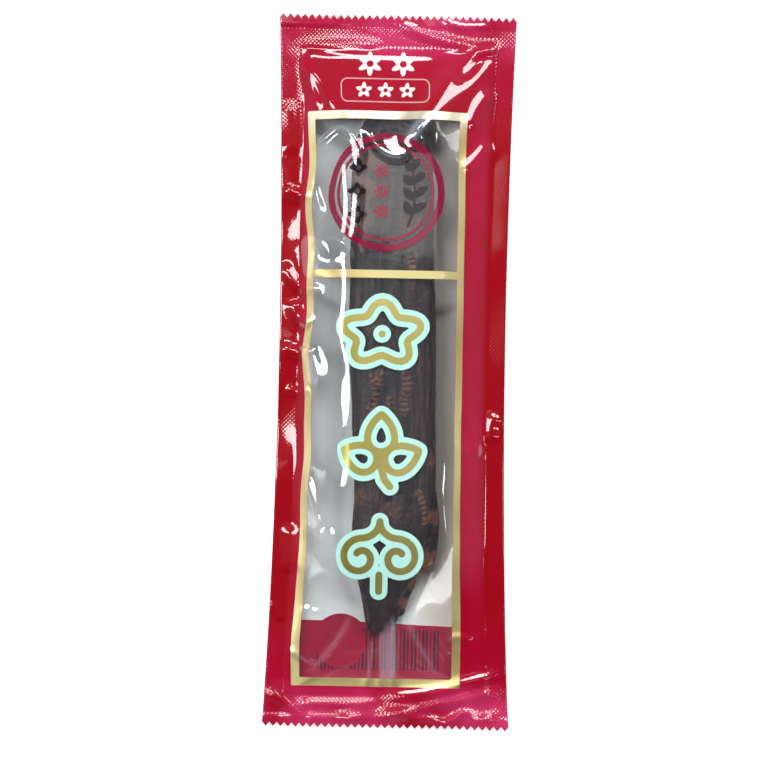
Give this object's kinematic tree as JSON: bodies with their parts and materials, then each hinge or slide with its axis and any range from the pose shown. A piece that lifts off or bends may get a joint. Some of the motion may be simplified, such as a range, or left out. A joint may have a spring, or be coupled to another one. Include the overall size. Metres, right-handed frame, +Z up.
{
  "type": "red ginseng root in a sealed sachet",
  "caption": "Pressed, steamed and dried ginseng root sealed in a flat film sachet with a clear window, crimped side and end seals and zigzag cut ends.",
  "frame": {"origin": "on the resting plane, under the middle of the sachet's length and width", "axes": "+Y along the sachet to the end where the root's head lies, +X across it, +Z up from the back film to the front film"},
  "size_m": [0.062, 0.179, 0.014],
  "materials": {
    "root_skin": "satin, wrinkled, dark reddish brown",
    "printed_film": "glossy crimson print with a clear window and gold lines",
    "backing_film": "glossy pearl white laminate with a crimson border"
  },
  "bodies": {
    "root": {"ginseng_root": "root_skin", "front_film": "printed_film", "back_film": "backing_film"}
  },
  "joints": []
}
